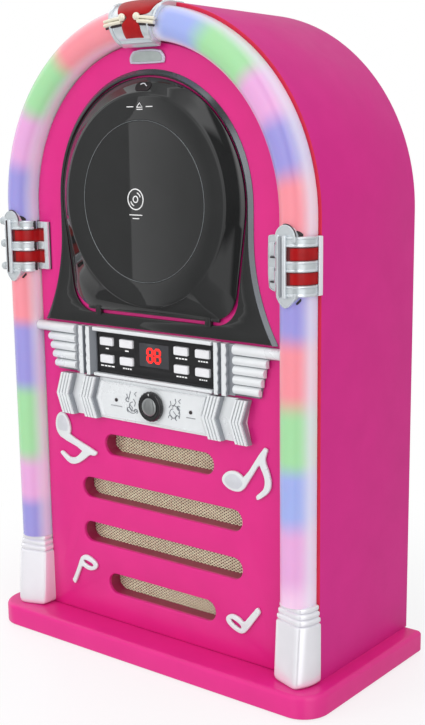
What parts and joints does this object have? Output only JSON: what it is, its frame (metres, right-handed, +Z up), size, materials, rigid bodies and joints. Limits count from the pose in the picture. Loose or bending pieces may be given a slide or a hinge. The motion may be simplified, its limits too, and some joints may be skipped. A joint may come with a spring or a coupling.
{
  "type": "tabletop jukebox compact disc player",
  "caption": "Arched tabletop jukebox disc player with light tubes around the front, a drop-down round disc door, key panel, volume knob and slotted loudspeaker front.",
  "frame": {"origin": "centre of the bounding box on the resting surface under the rubber feet", "axes": "+Z up, the front with the disc door faces -Y, +X to the right seen from the front"},
  "size_m": [0.315, 0.15, 0.4856],
  "materials": {
    "pink_shell": "gloss hot pink moulded casing",
    "front_pink": "gloss hot pink front moulding",
    "gloss_black": "piano black",
    "door_black": "piano black disc door",
    "silver_trim": "silver painted trim",
    "plated": "bright plated plastic",
    "tube_light": "frosted translucent tube, pastel colour bands",
    "red_insert": "translucent red insert",
    "grille_gold": "expanded gold mesh",
    "badge_grey": "grey printed badge with pale border",
    "note_white": "pale grey raised faces with silver rims",
    "key_white": "white push keys",
    "window_dark": "smoked display window",
    "led_red": "segment display",
    "steel": "plated steel",
    "rubber": "rubber foot",
    "board_green": "circuit board laminate",
    "board_white": "light strip laminate",
    "dark_plastic": "moulded black plastic",
    "back_black": "textured black back cover",
    "cone_paper": "paper cone",
    "knob_black": "black knob with grey domed cap",
    "base_black": "moulded bottom cover"
  },
  "bodies": {
    "cabinet": {"audio_jacks": "dark_plastic", "back_panel": "back_black", "badge_plate": "badge_grey", "base_plate": "base_black", "cabinet_shell": "pink_shell", "case_screws": "steel", "clamp_inserts": "red_insert", "column_base_left": "plated", "column_base_right": "plated", "control_board": "board_green", "control_fascia": "gloss_black", "control_trim": "silver_trim", "crown_clip": "plated", "crown_insert": "red_insert", "disc_well": "dark_plastic", "display_module": "led_red", "display_window": "window_dark", "door_catch": "dark_plastic", "door_hinge_pins": "steel", "door_surround": "gloss_black", "front_panel": "front_pink", "grille_mesh": "grille_gold", "guide_rods": "steel", "indicator_lenses": "led_red", "led_strips": "board_white", "light_arch_left": "tube_light", "light_arch_right": "tube_light", "light_tube_left": "tube_light", "light_tube_right": "tube_light", "main_board": "board_green", "mains_transformer": "steel", "mech_chassis": "steel", "music_notes": "note_white", "plinth": "pink_shell", "power_inlet": "dark_plastic", "power_switch_frame": "dark_plastic", "rubber_feet": "rubber", "side_clamp_left": "plated", "side_clamp_right": "plated", "sled_motor": "steel", "speaker_cones": "cone_paper", "speaker_drivers": "dark_plastic", "spindle_motor": "steel", "trim_strip": "silver_trim", "volume_pot": "steel"},
    "disc_door": {"cd_door": "door_black", "door_roundel": "door_black"},
    "hub": {"spindle_hub": "dark_plastic"},
    "sled": {"laser_sled": "dark_plastic"},
    "gear": {"sled_gear": "board_white"},
    "knob": {"volume_knob": "knob_black"},
    "rocker": {"power_rocker": "dark_plastic"},
    "play_key": {"play_button": "key_white"},
    "program_key": {"program_button": "key_white"},
    "random_key": {"random_button": "key_white"},
    "repeat_key": {"repeat_button": "key_white"},
    "skip_back_key": {"skip_back_button": "key_white"},
    "skip_forward_key": {"skip_forward_button": "key_white"},
    "source_key": {"source_button": "key_white"},
    "stop_key": {"stop_button": "key_white"}
  },
  "joints": [
    {"name": "door_hinge", "type": "hinge", "parent": "cabinet", "child": "disc_door", "pos_m": [0, -0.0512, 0.2665], "axis": [1, 0, 0], "range_deg": [0, 50]},
    {"name": "hub_spin", "type": "hinge", "parent": "cabinet", "child": "hub", "pos_m": [0, -0.04, 0.346], "axis": [0, 1, 0], "continuous": true},
    {"name": "sled_slide", "type": "slide", "parent": "cabinet", "child": "sled", "axis": [1, 0, 0], "range_m": [0, 0.028]},
    {"name": "gear_spin", "type": "hinge", "parent": "cabinet", "child": "gear", "pos_m": [0.04, -0.025, 0.3646], "axis": [0, 1, 0], "range_deg": [-300, 0]},
    {"name": "volume_turn", "type": "hinge", "parent": "cabinet", "child": "knob", "pos_m": [0, -0.05, 0.1978], "axis": [0, 1, 0], "range_deg": [-150, 150]},
    {"name": "power_rock", "type": "hinge", "parent": "cabinet", "child": "rocker", "pos_m": [-0.053, 0.069, 0.0505], "axis": [1, 0, 0], "range_deg": [-8, 8]},
    {"name": "play_press", "type": "slide", "parent": "cabinet", "child": "play_key", "axis": [0, 1, 0], "range_m": [0, 0.0009], "stiffness_N_per_m": 600, "springref_m": -0.0002},
    {"name": "program_press", "type": "slide", "parent": "cabinet", "child": "program_key", "axis": [0, 1, 0], "range_m": [0, 0.0009], "stiffness_N_per_m": 600, "springref_m": -0.0002},
    {"name": "random_press", "type": "slide", "parent": "cabinet", "child": "random_key", "axis": [0, 1, 0], "range_m": [0, 0.0009], "stiffness_N_per_m": 600, "springref_m": -0.0002},
    {"name": "repeat_press", "type": "slide", "parent": "cabinet", "child": "repeat_key", "axis": [0, 1, 0], "range_m": [0, 0.0009], "stiffness_N_per_m": 600, "springref_m": -0.0002},
    {"name": "skip_back_press", "type": "slide", "parent": "cabinet", "child": "skip_back_key", "axis": [0, 1, 0], "range_m": [0, 0.0009], "stiffness_N_per_m": 600, "springref_m": -0.0002},
    {"name": "skip_forward_press", "type": "slide", "parent": "cabinet", "child": "skip_forward_key", "axis": [0, 1, 0], "range_m": [0, 0.0009], "stiffness_N_per_m": 600, "springref_m": -0.0002},
    {"name": "source_press", "type": "slide", "parent": "cabinet", "child": "source_key", "axis": [0, 1, 0], "range_m": [0, 0.0009], "stiffness_N_per_m": 600, "springref_m": -0.0002},
    {"name": "stop_press", "type": "slide", "parent": "cabinet", "child": "stop_key", "axis": [0, 1, 0], "range_m": [0, 0.0009], "stiffness_N_per_m": 600, "springref_m": -0.0002}
  ],
  "couplings": [
    {"joint": "gear_spin", "follows": "sled_slide", "rad_per_m": -181.8}
  ]
}
